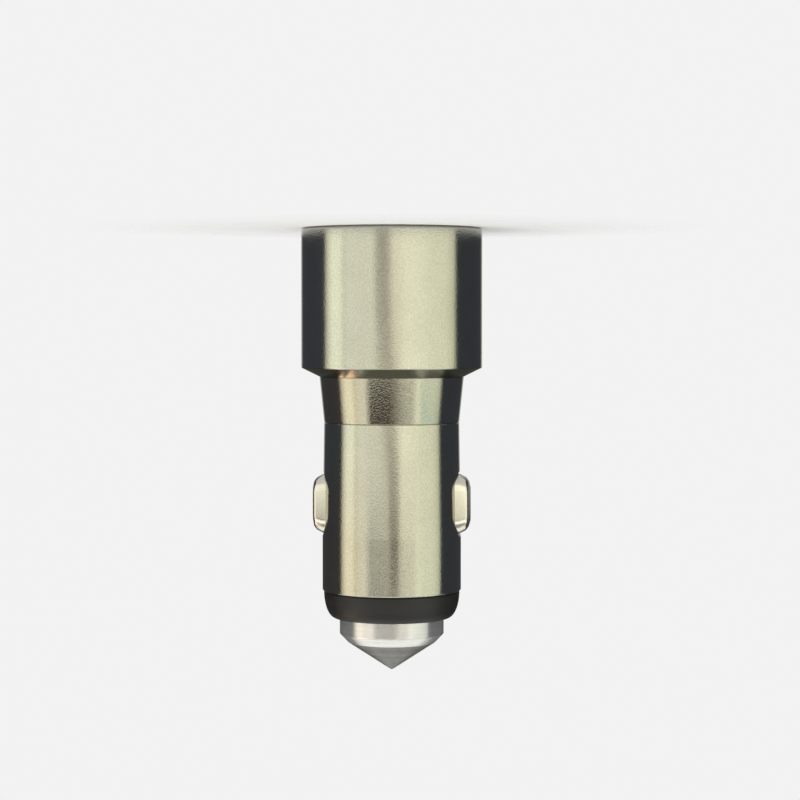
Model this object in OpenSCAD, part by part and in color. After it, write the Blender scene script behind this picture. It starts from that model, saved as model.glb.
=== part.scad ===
// Twelve volt car charger plug with two sockets in its head.
// Millimetres. The plug stands on its head: z = 0 is the rim round the socket face,
// and +Z runs along the barrel to the point of the centre contact.

/* [Head] */
// Outer diameter of the head
head_d = 26.2; // [25.4:0.1:30]
// Room in the head behind the sockets
head_room = 3.8; // [3.1:0.1:7.6]
// Wall of the head
head_wall = 0.9; // [0.7:0.05:1.1]
// Chamfer round the rim of the head
rim_chamfer = 0.35; // [0.1:0.05:0.5]
// Height of the bevel under the head
bevel_l = 1.3; // [0.8:0.1:2]
// Thickness of the web that closes the head
web_t = 1.2; // [0.8:0.1:2]
// Depth of the socket face below the rim
face_recess = 0.6; // [0.3:0.1:1]
// Thickness of the socket face
face_t = 2.2; // [1.8:0.1:2.6]
// Length of the skirt behind the socket face
skirt_l = 5; // [3:0.5:8]
// Wall of that skirt
skirt_wall = 0.8; // [0.6:0.1:1]

/* [Neck] */
// How far the neck widens on each side towards the head
neck_flare = 0.65; // [0.4:0.05:1.2]
// How far the waist is drawn in from the barrel on each side
waist_in = 0.25; // [0.05:0.05:0.35]
// Length of the neck
neck_l = 6.6; // [6:0.1:8]
// Depth of the line turned between neck and barrel
line_depth = 0.1; // [0.05:0.01:0.15]
// Wall of the neck at the waist
neck_wall = 1.1; // [1:0.05:1.2]
// Wall of the spigot that is pressed into the head
spigot_wall = 0.9; // [0.75:0.05:1.1]

/* [Barrel] */
// Diameter of the straight end of the barrel
barrel_d = 20.1; // [19.9:0.1:20.5]
// Length of the barrel
barrel_l = 24.4; // [24:0.1:28]
// Length of its straight end
straight_l = 7.9; // [6:0.1:8]
// Wall of the barrel
barrel_wall = 0.9; // [0.8:0.05:0.95]
// Chamfer on the barrel's cut end
end_chamfer = 0.15; // [0.05:0.05:0.3]
// Distance between the slots and the smaller bore
bore_step = 4.4; // [3:0.1:5]

/* [Side contacts] */
// Width of a slot in the barrel
slot_w = 7; // [6.6:0.1:7.4]
// Length of a slot in the barrel
slot_l = 9.3; // [9:0.1:9.6]
// Radius of the corners of a slot
slot_r = 2.6; // [1.5:0.1:2.8]
// Gap round a contact in its slot
slot_play = 0.35; // [0.2:0.05:0.45]
// Room between a contact's flange and the holder behind the nose
slot_gap = 0.5; // [0.3:0.1:1]
// How far a contact stands out of the barrel
shoe_out = 1.4; // [1:0.1:1.6]
// Rounding of a contact's two ends
shoe_round = 1.9; // [1:0.1:2.2]
// Sheet thickness of a contact
shoe_t = 0.5; // [0.4:0.05:0.6]
// How far a contact is pushed in
shoe_stroke = 1.3; // [1:0.1:1.4]
// Width of the flange that keeps a contact in
flange_w = 0.8; // [0.6:0.05:0.9]
// Wire of the coil spring behind a contact
shoe_wire = 0.3; // [0.2:0.05:0.35]
// Turns of that spring
shoe_turns = 4; // [3:1:5]

/* [Nose] */
// Length of the nose ring that shows
ring_l = 4; // [3.5:0.1:5]
// How far the nose ring is set in from the barrel on each side
ring_in = 0.2; // [0.15:0.05:0.45]
// Width of the flat edge round the ring's mouth
mouth_flat = 0.25; // [0.1:0.05:0.6]
// Thickness of the ring's lip
lip_t = 1.3; // [1:0.1:1.6]
// Length of the spigot that holds the ring in the barrel
ring_spigot_l = 5; // [4.6:0.1:5.2]
// Wall of that spigot
ring_wall = 0.5; // [0.4:0.05:0.6]
// Straight length of the centre contact below the ring
tip_out = 2.3; // [2.1:0.1:3]
// Height of the bevel on its shoulder
shoulder_l = 1.25; // [0.8:0.05:1.5]
// Width of that bevel
shoulder_w = 1.2; // [0.8:0.05:1.5]
// Height of the cone
cone_l = 4.1; // [3.5:0.1:6]
// Radius of the blunted point
point_r = 0.3; // [0.2:0.05:0.5]
// How far the centre contact is pushed in
tip_stroke = 2; // [1.5:0.1:2.2]
// Width of the flange behind the centre contact
tip_flange_w = 0.85; // [0.6:0.05:0.9]
// Thickness of that flange
tip_flange_t = 1.8; // [1.2:0.1:2]
// Diameter of the hollow for the spring
tip_hollow_d = 7.4; // [7:0.1:9]
// Depth of the hollow for the spring
tip_hollow_l = 3; // [2.5:0.1:4]
// Wire of the spring behind the centre contact
tip_wire = 0.6; // [0.4:0.05:0.7]
// Turns of that spring
tip_turns = 5; // [4:1:6]

/* [Sockets] */
// Width of a socket's inside
usb_w = 12.5; // [12.4:0.05:12.6]
// Height of a socket's inside
usb_h = 5.1; // [5:0.05:5.2]
// Length of a socket's shell
usb_l = 14; // [13:0.5:14.5]
// Sheet thickness of a socket's shell
usb_sheet = 0.3; // [0.25:0.05:0.35]
// Distance between the middles of the two sockets
usb_pitch = 9.2; // [9:0.1:9.6]
// Thickness of a socket's tongue
tongue_t = 1.84; // [1.7:0.02:1.9]
// Gap between a tongue's edge and the shell
tongue_gap = 0.7; // [0.6:0.05:0.85]
// Depth of the tongue's front edge behind the shell's mouth
tongue_back = 0.5; // [0.3:0.1:1]
// Length of the solid block at the back of a socket
block_l = 4.6; // [4:0.1:5]
// Bezel left in front of a shell's mouth
bezel_t = 0.6; // [0.4:0.05:0.9]

/* [Board] */
// Thickness of the board
board_t = 1.2; // [1:0.1:1.6]
// Gap between the board and the skirt of the socket face
board_head_gap = 1.35; // [0.8:0.05:2.3]
// Gap between the board and the bore of the neck
board_neck_gap = 0.7; // [0.4:0.05:1.7]
// Diameter of the coil's drum
drum_d = 8; // [7:0.1:8.4]
// Gap between the coil and the bore of the neck
drum_gap = 1.3; // [1:0.05:1.8]
// Gap between the capacitor cans and the bore of the neck
can_gap = 0.42; // [0.3:0.02:1]
// Length of the input capacitor
input_can_l = 9; // [7:0.5:10]
// Length of the output capacitor
output_can_l = 8; // [7:0.5:10]

/* [Hidden] */
$fn = 96;

// Clearance of pieces that are pressed or slipped into each other
fit = 0.05;
// Clearance of pieces that move past each other
play = 0.15;
// Overshoot of cutting shapes
over = 1;

face_z = face_recess + face_t;
port_z = face_recess + bezel_t;
port_end_z = port_z + usb_l;
port_y = usb_pitch / 2;
shield_w = usb_w + 2 * usb_sheet;
shield_h = usb_h + 2 * usb_sheet;
tongue_w = usb_w - 2 * tongue_gap;
pin_w = 1;
pin_t = 0.2;
pin_x = [-3.5, -1, 1, 3.5];

head_r = head_d / 2;
head_bore_r = head_r - head_wall;
plate_r = head_bore_r - fit;
head_l = port_end_z + head_room + web_t;
neck_z = head_l + bevel_l;
line_z = neck_z + neck_l;
ring_z = line_z + barrel_l;
mouth_z = ring_z + ring_l;
shoulder_z = mouth_z + tip_out;
cone_z = shoulder_z + shoulder_l;
point_z = cone_z + cone_l;
web_z = head_l - web_t;
barrel_r = barrel_d / 2;
barrel_bore_r = barrel_r - barrel_wall;
waist_r = barrel_r - waist_in;
neck_r = waist_r + neck_flare;
neck_bore_r = waist_r - neck_wall;
spigot_r = neck_bore_r + spigot_wall;
spigot_z = web_z - 1;

holder_t = 2;
holder_top_z = ring_z - ring_spigot_l;
holder_z = holder_top_z - holder_t;

shoe_w = slot_w - 2 * slot_play;
shoe_l = slot_l - 2 * slot_play;
slot_z = holder_z - slot_gap - flange_w - shoe_l / 2;
step_z = slot_z - slot_l / 2 - bore_step;
shoe_x = barrel_r + shoe_out;
flange_x = sqrt(pow(barrel_bore_r, 2) - pow(shoe_w / 2 + flange_w, 2)) - fit;
// A pressed contact's flange stops on the pad at the board's edge
pad_t = 0.4;
pad_x = flange_x - shoe_t - shoe_stroke - fit;
pad_w = shoe_w + flange_w;
pad_l = 4.5;
fork_l = 1.6;
fork_w = 2;
shoe_coil_r = 1.5;

ring_r = barrel_r - ring_in;
ring_cavity_r = barrel_bore_r - fit - ring_wall;
tip_flange_r = ring_cavity_r - play - fit;
tip_r = tip_flange_r - tip_flange_w;
mouth_r = tip_r + play;
mouth_edge_r = mouth_r + mouth_flat;
lip_z = mouth_z - lip_t;
flange_top_z = lip_z - fit;
flange_z = flange_top_z - tip_flange_t;
hollow_z = flange_z + tip_hollow_l;
board_end_z = holder_top_z + 0.5;
terminal_t = 0.4;
terminal_z = board_end_z + terminal_t;
terminal_r = tip_hollow_d / 2 - play - fit;
terminal_bore_r = 0.5;
// The pressed centre contact stops on the post of the holder
post_l = flange_z - tip_stroke - fit - holder_top_z;
post_wall = 0.7;
post_r = terminal_r + fit + post_wall;

// The board narrows in the neck and between the contacts, and ends in a tab
board_z = face_z + 1.6;
board_step_z = spigot_z - 1;
board_tail_z = slot_z - slot_l / 2 - flange_w - 1.2;
board_head_r = plate_r - skirt_wall - board_head_gap;
board_neck_r = neck_bore_r - board_neck_gap;
board_tail_r = pad_x - pad_t;
board_tab_r = terminal_r - 0.5;

// Parts on the board: the coil and the cans as large as the neck's bore leaves room for
solder = 0.1;
drum_h = sqrt(pow(neck_bore_r - drum_gap, 2) - pow(drum_d / 2, 2)) - board_t / 2;
drum_flange_t = 0.8;
drum_z = port_end_z + 3 + drum_d / 2;
can_room = neck_bore_r - can_gap;
can_side = 0.3;
can_foot = board_t / 2 + fit;
can_b = can_side + can_foot + can_room;
can_r = sqrt(can_b * can_b + can_room * can_room - can_side * can_side
    - can_foot * can_foot) - can_b;
can_z = port_end_z + 3.3;
chip_w = 3.9;
chip_l = 4.9;
chip_t = 1.45;
chip_leg_w = 0.4;
chip_leg_l = 1.2;
chip_leg_t = 0.6;
chip_leg_pitch = 1.27;
chip_z = board_tail_z + chip_l / 2;
diode_w = 4.2;
diode_l = 2.6;
diode_t = 2.1;
diode_leg_w = 1;
diode_leg_l = 1.4;
diode_leg_t = 1.1;
diode_z = slot_z + fork_w / 2 + 0.4 + diode_l / 2;
fuse_w = 3.2;
fuse_l = 2.6;
fuse_t = 0.95;
fuse_cap_w = 0.7;
fuse_z = chip_z + 1;
small_w = 0.8;
small_t = 0.5;
small_l = 1.6;
small_pitch = 2.6;
led_w = 2;
led_l = 1;
pipe_w = 4;
pipe_h = 1.2;
pipe_round = 0.5;

// A rectangle with round corners, drawn from its middle
module round_rect(w, h, r) {
    square([w - 2 * r, h], center = true);
    square([w, h - 2 * r], center = true);
    for (x = [-1, 1], y = [-1, 1])
        translate([x * (w / 2 - r), y * (h / 2 - r)]) circle(r, $fn = 32);
}

// A round-cornered rectangle drawn across the plug's axis and raised along it
module upright(w, h, r, z, l) {
    translate([0, 0, z]) linear_extrude(l) round_rect(w, h, r);
}

// Sweep of a wire of radius r along the points of a path, closed at both ends
module swept_wire(path, r, sides = 6) {
    n = len(path);
    rings = [for (i = [0:n - 1])
        let (
            ahead = path[min(i + 1, n - 1)] - path[max(i - 1, 0)],
            t = ahead / norm(ahead),
            side = cross(t, [0, 0, 1]) / norm(cross(t, [0, 0, 1])),
            up = cross(side, t)
        )
        for (k = [0:sides - 1])
            path[i] + r * (cos(360 * k / sides) * side + sin(360 * k / sides) * up)];
    walls = [for (i = [0:n - 2], k = [0:sides - 1])
        let (a = i * sides + k, b = i * sides + (k + 1) % sides)
        each [[a, b, b + sides], [a, b + sides, a + sides]]];
    first = [for (k = [sides - 1:-1:0]) k];
    last = [for (k = [0:sides - 1]) (n - 1) * sides + k];
    polyhedron(points = rings, faces = concat([first], walls, [last]), convexity = 8);
}

// Compression spring along +Z from zero, with its end turns drawn flat
module coil_spring(coil_r, wire_d, length, turns, steps = 14) {
    count = turns * steps;
    rise = length - wire_d;
    closed = 0.75 / turns;
    function climb(t) = min(1, max(0, (t - closed) / (1 - 2 * closed)));
    function height(t) = let (c = climb(t)) wire_d / 2 + fit / 2
        + (rise - fit) * (0.9 * c + 0.1 * t);
    swept_wire([for (i = [0:count])
        [coil_r * cos(360 * i / steps), coil_r * sin(360 * i / steps), height(i / count)]],
        wire_d / 2);
}

module head_shell() {
    color([0.36, 0.36, 0.34]) rotate_extrude() polygon([
        [head_bore_r, 0],
        [head_r - rim_chamfer, 0],
        [head_r, rim_chamfer],
        [head_r, head_l],
        [neck_r, neck_z],
        [spigot_r + fit, neck_z],
        [spigot_r + fit, web_z],
        [head_bore_r, web_z]]);
}

// Conical neck, the turned line below it, and the barrel that swells to its straight end
module body_shell() {
    color([0.33, 0.33, 0.31]) difference() {
        rotate_extrude() polygon([
            [neck_bore_r, spigot_z], [spigot_r, spigot_z], [spigot_r, neck_z],
            [neck_r, neck_z], [waist_r, line_z - line_depth],
            [waist_r - line_depth, line_z], [waist_r, line_z + line_depth],
            [barrel_r, ring_z - straight_l], [barrel_r, ring_z - end_chamfer],
            [barrel_r - end_chamfer, ring_z], [barrel_bore_r, ring_z],
            [barrel_bore_r, step_z], [neck_bore_r, step_z]]);
        for (side = [-1, 1])
            translate([side * barrel_bore_r * 0.8, 0, slot_z])
                rotate([0, side * 90, 0]) linear_extrude(barrel_r)
                    round_rect(slot_l, slot_w, slot_r);
    }
}

// Outline of the nose ring between the barrel and its mouth, a quarter of an oval
function ring_side(t) = [
    mouth_edge_r + (ring_r - mouth_edge_r) * pow(cos(90 * t), 0.85),
    ring_z + ring_l * sin(90 * t)];

module end_ring() {
    steps = 16;
    color([0.07, 0.07, 0.07]) rotate_extrude() polygon(concat(
        [[barrel_bore_r - fit, ring_z - ring_spigot_l], [barrel_bore_r - fit, ring_z]],
        [for (i = [0:steps]) ring_side(i / steps)],
        [[mouth_r, mouth_z], [mouth_r, lip_z], [ring_cavity_r, lip_z],
            [ring_cavity_r, ring_z - ring_spigot_l]]));
}

module centre_tip() {
    slope = atan2(tip_r - shoulder_w - point_r, cone_l);
    color([0.78, 0.78, 0.76]) rotate_extrude() polygon(concat(
        [[0, hollow_z], [tip_hollow_d / 2, hollow_z], [tip_hollow_d / 2, flange_z],
            [tip_flange_r, flange_z], [tip_flange_r, flange_top_z],
            [tip_r, flange_top_z], [tip_r, shoulder_z], [tip_r - shoulder_w, cone_z]],
        [for (a = [90 - slope:-10:1])
            [point_r * sin(a), point_z - point_r + point_r * cos(a)]],
        [[0, point_z]]));
}

module nose_holder() {
    color([0.1, 0.1, 0.1]) difference() {
        union() {
            translate([0, 0, holder_z]) cylinder(r = barrel_bore_r - fit, h = holder_t);
            translate([0, 0, holder_top_z]) cylinder(r = post_r, h = post_l);
        }
        translate([0, 0, holder_top_z]) cylinder(r = terminal_r + fit, h = post_l + over);
        translate([0, 0, holder_z - over]) linear_extrude(holder_t + 2 * over)
            square([2 * (board_tab_r + fit), board_t + 2 * fit], center = true);
    }
}

module tip_terminal() {
    color([0.8, 0.66, 0.35]) translate([0, 0, board_end_z]) difference() {
        cylinder(r = terminal_r, h = terminal_t);
        translate([0, 0, -over]) cylinder(r = terminal_bore_r, h = terminal_t + 2 * over, $fn = 24);
    }
}

module tip_spring() {
    color([0.7, 0.7, 0.7]) translate([0, 0, terminal_z])
        coil_spring(terminal_r - tip_wire / 2 - play, tip_wire, hollow_z - terminal_z, tip_turns);
}

// Solid form of a side contact on the +X side, inset all round by the amount given
module shoe_form(inset) {
    intersection() {
        cylinder(r = shoe_x - inset, h = 2 * slot_z);
        translate([0, 0, slot_z]) rotate([0, 90, 0]) linear_extrude(shoe_x + over)
            round_rect(shoe_l - 2 * inset, shoe_w - 2 * inset, slot_r - slot_play - inset);
        translate([0, shoe_w, slot_z]) rotate([90, 0, 0]) linear_extrude(2 * shoe_w)
            translate([flange_x - over, 0]) union() {
                round_rect(2 * (shoe_x - flange_x + over - inset), shoe_l - 2 * inset,
                    shoe_round - inset);
            }
    }
}

// Drawn contact with its hollow behind and the flange that stops it in the slot
module side_contact() {
    color([0.82, 0.81, 0.76]) difference() {
        union() {
            intersection() {
                shoe_form(0);
                translate([flange_x - shoe_t, -slot_w, slot_z - slot_l])
                    cube([shoe_x, 2 * slot_w, 2 * slot_l]);
            }
            translate([flange_x - shoe_t, 0, slot_z]) rotate([0, 90, 0])
                linear_extrude(shoe_t)
                    round_rect(shoe_l + 2 * flange_w, shoe_w + 2 * flange_w, slot_r);
        }
        shoe_form(shoe_t);
    }
}

module contact_spring() {
    seat_x = shoe_x - shoe_t;
    color([0.72, 0.72, 0.72]) translate([pad_x, 0, slot_z]) rotate([0, 90, 0])
        coil_spring(shoe_coil_r, shoe_wire, seat_x - pad_x - 0.1, shoe_turns, 12);
}

// Spring seat on the board's edge, with a fork that grips the board
module ground_pad() {
    color([0.8, 0.8, 0.78]) difference() {
        translate([pad_x - pad_t - fork_l, 0, slot_z]) union() {
            translate([fork_l, -pad_w / 2, -pad_l / 2]) cube([pad_t, pad_w, pad_l]);
            for (side = [-1, 1])
                translate([0, side * (board_t + pad_t + fit) / 2 - pad_t / 2, -fork_w / 2])
                    cube([fork_l + pad_t, pad_t, fork_w]);
        }
        translate([0, 0, slot_z]) rotate([0, 90, 0])
            cylinder(r = shoe_coil_r / 2, h = barrel_r, $fn = 24);
    }
}

module light_pipe() {
    color([0.75, 0.85, 0.9, 0.6]) upright(pipe_w - 2 * fit, pipe_h - 2 * fit,
        pipe_round - fit, face_recess, board_z - led_l - face_recess - fit);
}

module face_plate() {
    color([0.09, 0.09, 0.09]) difference() {
        union() {
            translate([0, 0, face_recess]) cylinder(r = plate_r, h = face_t);
            translate([0, 0, face_z]) cylinder(r = plate_r, h = skirt_l);
        }
        translate([0, 0, face_z]) cylinder(r = plate_r - skirt_wall, h = skirt_l + over);
        for (side = [-1, 1]) translate([0, side * port_y, 0]) {
            upright(usb_w, usb_h, 0.4, 0, face_z + over);
            upright(shield_w + 2 * fit, shield_h + 2 * fit, 0.6, port_z,
                face_t + skirt_l + over);
            hull() {
                upright(usb_w + 1, usb_h + 1, 0.8, face_recess - 0.1, 0.1);
                upright(usb_w, usb_h, 0.4, face_recess + 0.4, 0.1);
            }
        }
        upright(pipe_w, pipe_h, pipe_round, 0, face_z + over);
    }
}

// Folded shell of one socket on the +Y side, open to the front, with sprung windows and feet
module usb_shield() {
    foot_h = port_y - shield_h / 2 - board_t / 2;
    color([0.75, 0.75, 0.74]) difference() {
        union() {
            translate([0, port_y, 0]) upright(shield_w, shield_h, 0.6, port_z, usb_l);
            for (x = [-1, 1], z = [board_z + 1, port_end_z - 3])
                translate([x * (shield_w - usb_sheet) / 2 - usb_sheet / 2, board_t / 2, z])
                    cube([usb_sheet, foot_h + shield_h / 2, 1.6]);
        }
        translate([0, port_y, 0]) upright(usb_w, usb_h, 0.3, port_z - over, usb_l + 2 * over);
        for (x = [-1, 1])
            translate([x * 3 - 0.8, port_y - shield_h, port_z + 3]) difference() {
                cube([1.6, 2 * shield_h, 4.5]);
                translate([0.3, -over, 0.5]) cube([1, 2 * (shield_h + over), 4.5]);
            }
    }
}

// The four contacts of one socket, bent down to the board behind the shell
module usb_pin_set(grow) {
    for (x = pin_x) translate([x - pin_w / 2 - grow, 0, 0]) {
        w = pin_w + 2 * grow;
        translate([0, port_y - pin_t - grow, port_z + tongue_back + 0.8 - grow])
            cube([w, pin_t + 2 * grow, usb_l - tongue_back + 0.1 + 2 * grow]);
        translate([0, board_t / 2, port_end_z + 0.7 - grow])
            cube([w, port_y - board_t / 2 + grow, pin_t + 2 * grow]);
    }
}

module usb_pins() {
    color([0.85, 0.7, 0.35]) usb_pin_set(0);
}

module usb_tongue() {
    color([0.88, 0.88, 0.86]) difference() {
        union() {
            translate([-tongue_w / 2, port_y, port_z + tongue_back])
                cube([tongue_w, tongue_t, usb_l - tongue_back]);
            translate([0, port_y, 0])
                upright(usb_w - 2 * fit, usb_h - 2 * fit, 0.3, port_end_z - block_l, block_l);
        }
        usb_pin_set(0.02);
    }
}

module main_board() {
    half = [[board_head_r, board_z], [board_head_r, board_step_z],
        [board_neck_r, board_step_z + 1], [board_neck_r, board_tail_z - 1],
        [board_tail_r, board_tail_z], [board_tail_r, holder_z - fit],
        [board_tab_r, holder_z - fit], [board_tab_r, board_end_z]];
    color([0.12, 0.36, 0.2]) translate([0, board_t / 2, 0]) rotate([90, 0, 0])
        linear_extrude(board_t) difference() {
            polygon(concat(half, [for (i = [len(half) - 1:-1:0]) [-half[i][0], half[i][1]]]));
            for (x = [-1, 1]) translate([x * (board_neck_r - 1.4), board_tail_z - 3])
                circle(0.6, $fn = 24);
        }
}

// Turns a part that stands on the board's +Y face so that its foot is at z along the board
module on_board(x, z) {
    translate([x, board_t / 2, z]) rotate([-90, 0, 0]) children();
}

module coil_core() {
    color([0.2, 0.2, 0.21]) on_board(0, drum_z) rotate_extrude() polygon([
        [0, 0], [drum_d / 2, 0], [drum_d / 2, drum_flange_t], [drum_d / 4, drum_flange_t],
        [drum_d / 4, drum_h - drum_flange_t], [drum_d / 2, drum_h - drum_flange_t],
        [drum_d / 2, drum_h], [0, drum_h]]);
}

module coil_winding() {
    rows = 6;
    room = drum_h - 2 * drum_flange_t - 2 * fit;
    wire_r = room / rows / 2;
    inner_r = drum_d / 4 + fit;
    outer_r = drum_d / 2 - wire_r - 0.2;
    color([0.7, 0.36, 0.16]) on_board(0, drum_z) rotate_extrude() union() {
        translate([inner_r, drum_flange_t + fit]) square([outer_r - inner_r, room]);
        for (i = [0:rows - 1])
            translate([outer_r, drum_flange_t + fit + wire_r * (2 * i + 1)])
                circle(wire_r, $fn = 16);
    }
}

// Electrolytic can lying along the -Y face, with two leads bent to the board
module can(side, length) {
    r = can_r;
    x = side * (r + can_side);
    y = -can_foot - r;
    crimp_z = 1.6;
    color([0.2, 0.22, 0.3]) {
        translate([x, y, can_z]) rotate_extrude() polygon([
            [0, 0.3], [r - 1, 0.3], [r - 0.7, 0], [r, 0.4], [r, crimp_z - 0.5],
            [r - 0.35, crimp_z], [r, crimp_z + 0.5], [r, length - 0.3], [r - 0.3, length],
            [0, length]]);
        for (lead = [-1.25, 1.25]) {
            translate([x + lead, y, can_z - 0.6]) cylinder(r = 0.25, h = 1, $fn = 16);
            translate([x + lead, y - 0.25, can_z - 0.6]) rotate([-90, 0, 0])
                cylinder(r = 0.25, h = -y - board_t / 2 + 0.25, $fn = 16);
        }
    }
}

module regulator_chip() {
    color([0.11, 0.11, 0.12]) translate([0, board_t / 2, chip_z]) {
        translate([-chip_w / 2, solder, -chip_l / 2]) cube([chip_w, chip_t, chip_l]);
        for (side = [-1, 1], i = [-1.5:1.5])
            translate([side * (chip_w / 2 + 0.45) - chip_leg_l / 2, 0,
                i * chip_leg_pitch - chip_leg_w / 2])
                cube([chip_leg_l, chip_leg_t, chip_leg_w]);
    }
}

module diode() {
    color([0.1, 0.1, 0.1]) translate([0, board_t / 2, diode_z]) {
        translate([-diode_w / 2, solder, -diode_l / 2]) cube([diode_w, diode_t, diode_l]);
        for (side = [-1, 1])
            translate([side * (diode_w / 2 + 0.1) - diode_leg_w / 2, 0, -diode_leg_l / 2])
                cube([diode_leg_w, diode_leg_t, diode_leg_l]);
    }
}

module fuse() {
    cap_over = 0.05;
    color([0.55, 0.5, 0.3]) translate([0, -board_t / 2 - fuse_t - cap_over, fuse_z]) {
        translate([-fuse_w / 2, 0, -fuse_l / 2]) cube([fuse_w, fuse_t, fuse_l]);
        for (side = [-1, 1])
            translate([side * (fuse_w / 2 + 0.3) - fuse_cap_w / 2, -cap_over,
                -fuse_l / 2 - cap_over])
                cube([fuse_cap_w, fuse_t + 2 * cap_over, fuse_l + 2 * cap_over]);
    }
}

// Small resistors and ceramic capacitors: columns beside the coil, and a row past the cans
module chip_parts() {
    size = [small_w, small_t, small_l];
    row_z = can_z + max(input_can_l, output_can_l) + 1.2;
    color([0.45, 0.38, 0.28]) {
        for (side = [-1, 1], i = [0:3])
            translate([side * (board_neck_r - 2) - small_w / 2, board_t / 2,
                drum_z - drum_d / 2 + small_pitch * i]) cube(size);
        for (i = [-2:2])
            translate([2 * i - small_w / 2, -board_t / 2 - small_t, row_z]) cube(size);
    }
}

module status_led() {
    color([0.9, 0.9, 0.8]) translate([-led_w / 2, -board_t / 2, board_z - led_l])
        cube([led_w, board_t, led_l]);
}

head_shell();
face_plate();
light_pipe();
body_shell();
end_ring();
centre_tip();
nose_holder();
tip_terminal();
tip_spring();
mirror([1, 0, 0]) side_contact();  // left_contact
side_contact();  // right_contact
rotate([0, 0, 180]) contact_spring();  // left_contact_spring
contact_spring();  // right_contact_spring
mirror([1, 0, 0]) ground_pad();  // left_ground_pad
ground_pad();  // right_ground_pad
usb_shield();  // upper_usb_shield
rotate([0, 0, 180]) usb_shield();  // lower_usb_shield
usb_tongue();  // upper_usb_tongue
rotate([0, 0, 180]) usb_tongue();  // lower_usb_tongue
usb_pins();  // upper_usb_pins
rotate([0, 0, 180]) usb_pins();  // lower_usb_pins
main_board();
coil_core();
coil_winding();
can(-1, input_can_l);  // input_capacitor
can(1, output_can_l);  // output_capacitor
regulator_chip();
diode();
fuse();
chip_parts();
status_led();
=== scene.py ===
"""Looks of a metal car charger plug standing on its head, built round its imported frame."""

import math

import bmesh
import bpy
from mathutils import Matrix, Vector


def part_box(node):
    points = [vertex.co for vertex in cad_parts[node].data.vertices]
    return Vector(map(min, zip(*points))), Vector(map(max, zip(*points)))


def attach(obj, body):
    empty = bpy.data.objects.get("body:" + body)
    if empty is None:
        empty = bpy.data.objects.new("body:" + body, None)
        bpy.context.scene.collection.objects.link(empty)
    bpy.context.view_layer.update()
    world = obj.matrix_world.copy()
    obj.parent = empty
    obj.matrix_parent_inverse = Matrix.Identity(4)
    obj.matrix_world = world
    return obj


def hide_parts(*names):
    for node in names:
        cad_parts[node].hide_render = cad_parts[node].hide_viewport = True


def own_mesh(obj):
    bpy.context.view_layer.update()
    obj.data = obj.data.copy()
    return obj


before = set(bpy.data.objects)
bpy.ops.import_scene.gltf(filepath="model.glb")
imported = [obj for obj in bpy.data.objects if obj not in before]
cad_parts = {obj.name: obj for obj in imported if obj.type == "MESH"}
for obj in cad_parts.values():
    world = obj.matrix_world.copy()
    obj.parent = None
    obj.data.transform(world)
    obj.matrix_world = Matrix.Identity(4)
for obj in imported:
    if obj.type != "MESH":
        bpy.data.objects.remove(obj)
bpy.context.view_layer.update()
MM = 0.001


# Head sleeve. The real one is a cup turned from aluminium, with a fine bevel cut round its
# rim and a broad one underneath, then polished and anodised a warm grey.
class Number:
    """A number in a material; arithmetic on it adds Math nodes."""

    def __init__(self, finish, socket):
        self.finish = finish
        self.socket = socket

    def math(self, operation, *values):
        sockets = {i: getattr(v, "socket", v) for i, v in enumerate(values)}
        made = self.finish.node("ShaderNodeMath", {"operation": operation}, sockets)
        return Number(self.finish, made.outputs[0])

    def __add__(self, other):
        return self.math("ADD", self, other)

    def __sub__(self, other):
        return self.math("SUBTRACT", self, other)

    def __rsub__(self, other):
        return self.math("SUBTRACT", other, self)

    def __mul__(self, other):
        return self.math("MULTIPLY", self, other)

    def __truediv__(self, other):
        return self.math("DIVIDE", self, other)

    def __mod__(self, other):
        return self.math("FLOORED_MODULO", self, other)

    def __abs__(self):
        return self.math("ABSOLUTE", self)

    def __gt__(self, other):
        return self.math("GREATER_THAN", self, other)

    __radd__ = __add__
    __rmul__ = __mul__


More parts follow.
